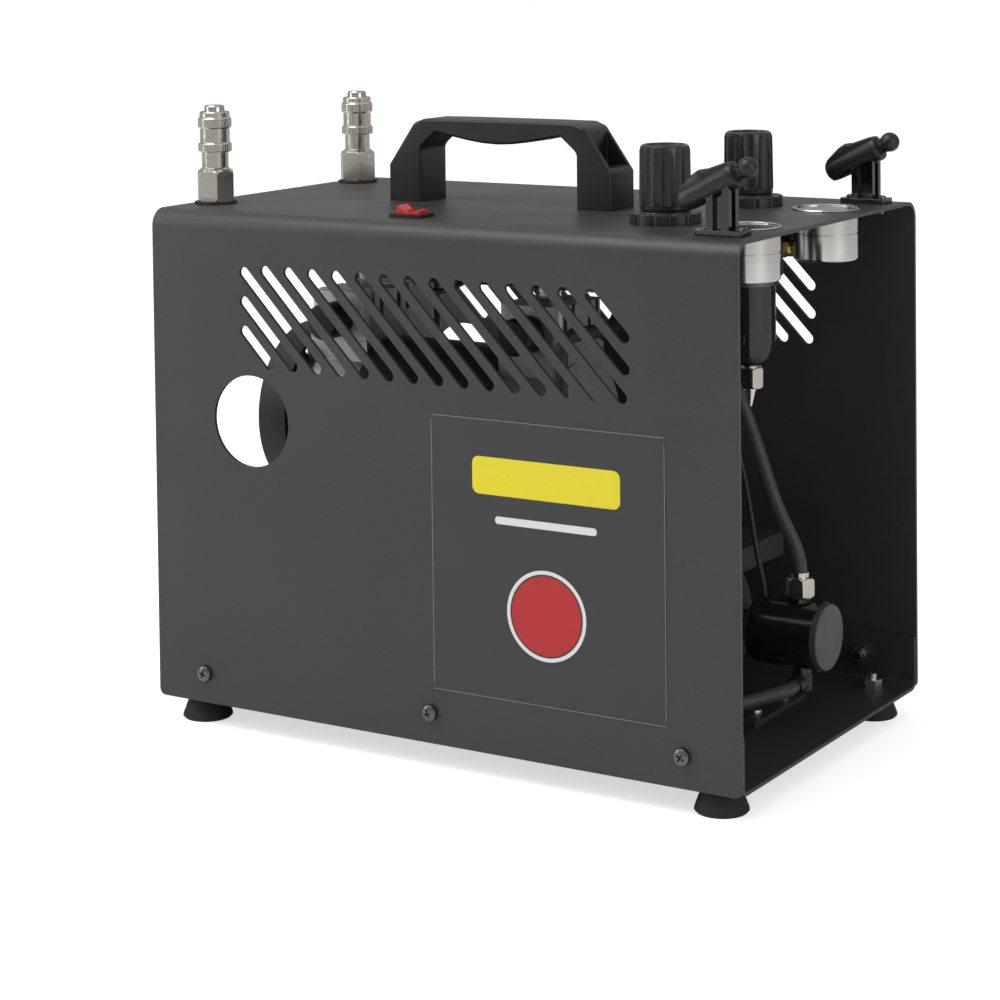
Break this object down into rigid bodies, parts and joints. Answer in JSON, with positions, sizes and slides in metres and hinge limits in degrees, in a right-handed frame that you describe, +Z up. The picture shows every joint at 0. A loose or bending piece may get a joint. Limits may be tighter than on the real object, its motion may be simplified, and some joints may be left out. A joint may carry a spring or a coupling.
{
  "type": "airbrush compressor",
  "caption": "Portable airbrush compressor in a slotted sheet-metal housing with carry handle, pressure knobs, gauges, hose couplers, airbrush cradles and rubber feet.",
  "frame": {"origin": "centre of the rectangle of the housing footprint, on the bench plane under the feet", "axes": "+X to the right along the long side, front panel faces -Y, +Z up"},
  "size_m": [0.372, 0.2314, 0.351],
  "materials": {
    "coat": "satin charcoal powder coat",
    "label": "printed film",
    "rubber": "moulded rubber",
    "blackplastic": "moulded black plastic",
    "glossplastic": "gloss black plastic",
    "nickel": "bright nickel plate",
    "steel": "zinc plated steel",
    "brass": "machined brass",
    "castalu": "cast aluminium",
    "red": "translucent red plastic",
    "smoke": "smoked transparent plastic",
    "glass": "clear lens",
    "white": "white enamel",
    "hose": "reinforced rubber hose",
    "tankpaint": "grey paint"
  },
  "bodies": {
    "housing": {"air_hoses": "hose", "air_tank": "tankpaint", "airbrush_cradles": "glossplastic", "base_tray": "coat", "carry_handle": "blackplastic", "coupler_bodies": "nickel", "coupler_washers": "rubber", "cover": "coat", "cover_screws": "steel", "crankcases": "castalu", "cylinder_heads": "castalu", "discharge_tubes": "castalu", "drain_cock": "brass", "fan_shroud": "blackplastic", "filter_bowls": "smoke", "filter_elements": "white", "floor_screws": "steel", "front_label": "label", "gauge_cases": "nickel", "gauge_dials": "white", "gauge_lenses": "glass", "gauge_sockets": "brass", "holder_posts": "glossplastic", "housing_nuts": "steel", "intake_filters": "blackplastic", "mains_inlet": "blackplastic", "motor_housing": "tankpaint", "motor_shelf": "tankpaint", "motor_stator": "steel", "panel_nuts": "glossplastic", "pipe_fittings": "nickel", "pressure_switch_body": "glossplastic", "pressure_switch_cap": "blackplastic", "regulator_bodies": "castalu", "regulator_diaphragms": "rubber", "regulator_springs": "steel", "rubber_feet": "rubber", "rubber_isolators": "rubber", "safety_valve": "brass", "shaft_bearings": "steel", "switch_housing": "blackplastic", "tank_brackets": "tankpaint", "top_screws": "steel", "wiring": "blackplastic"},
    "switch_rocker": {"switch_rocker": "red"},
    "knob_front": {"regulator_knob_front": "glossplastic"},
    "knob_rear": {"regulator_knob_rear": "glossplastic"},
    "needle_front": {"gauge_needle_front": "blackplastic"},
    "needle_rear": {"gauge_needle_rear": "blackplastic"},
    "sleeve_front": {"coupler_sleeve_front": "nickel"},
    "sleeve_rear": {"coupler_sleeve_rear": "nickel"},
    "drain_front": {"drain_stem_front": "nickel"},
    "drain_rear": {"drain_stem_rear": "nickel"},
    "drain_wing": {"drain_cock_wing": "brass"},
    "relief_ring": {"safety_valve_ring": "steel"},
    "rotor": {"motor_shaft": "steel", "motor_rotor": "steel", "cooling_fan": "blackplastic"},
    "piston_left": {"piston_left": "castalu"},
    "piston_right": {"piston_right": "castalu"}
  },
  "joints": [
    {"name": "switch_rock", "type": "hinge", "parent": "housing", "child": "switch_rocker", "pos_m": [-0.027, -0.084, 0.295], "axis": [0, -1, 0], "range_deg": [0, 18]},
    {"name": "knob_turn_front", "type": "hinge", "parent": "housing", "child": "knob_front", "pos_m": [0.1118, -0.0496, 0.314], "axis": [0, 0, -1], "range_deg": [0, 1080]},
    {"name": "needle_sweep_front", "type": "hinge", "parent": "housing", "child": "needle_front", "pos_m": [0.1593, -0.0494, 0.293], "axis": [0, 0, -1], "range_deg": [0, 270]},
    {"name": "sleeve_slide_front", "type": "slide", "parent": "housing", "child": "sleeve_front", "axis": [0, 0, -1], "range_m": [0, 0.004], "stiffness_N_per_m": 400},
    {"name": "drain_push_front", "type": "slide", "parent": "housing", "child": "drain_front", "axis": [0, 0, 1], "range_m": [0, 0.003], "stiffness_N_per_m": 300},
    {"name": "knob_turn_rear", "type": "hinge", "parent": "housing", "child": "knob_rear", "pos_m": [0.1118, 0.0496, 0.314], "axis": [0, 0, -1], "range_deg": [0, 1080]},
    {"name": "needle_sweep_rear", "type": "hinge", "parent": "housing", "child": "needle_rear", "pos_m": [0.1593, 0.0494, 0.293], "axis": [0, 0, -1], "range_deg": [0, 270]},
    {"name": "sleeve_slide_rear", "type": "slide", "parent": "housing", "child": "sleeve_rear", "axis": [0, 0, -1], "range_m": [0, 0.004], "stiffness_N_per_m": 400},
    {"name": "drain_push_rear", "type": "slide", "parent": "housing", "child": "drain_rear", "axis": [0, 0, 1], "range_m": [0, 0.003], "stiffness_N_per_m": 300},
    {"name": "drain_wing_turn", "type": "hinge", "parent": "housing", "child": "drain_wing", "pos_m": [-0.163, 0.024, 0.038], "axis": [-1, 0, 0], "range_deg": [0, 720]},
    {"name": "relief_ring_pull", "type": "slide", "parent": "housing", "child": "relief_ring", "axis": [-1, 0, 0], "range_m": [0, 0.002], "stiffness_N_per_m": 1500},
    {"name": "shaft_spin", "type": "hinge", "parent": "housing", "child": "rotor", "pos_m": [-0.06, 0, 0.166], "axis": [1, 0, 0], "continuous": true},
    {"name": "piston_stroke_left", "type": "slide", "parent": "housing", "child": "piston_left", "axis": [0, 0, -1], "range_m": [0, 0.008]},
    {"name": "piston_stroke_right", "type": "slide", "parent": "housing", "child": "piston_right", "axis": [0, 0, -1], "range_m": [0, 0.008]}
  ]
}
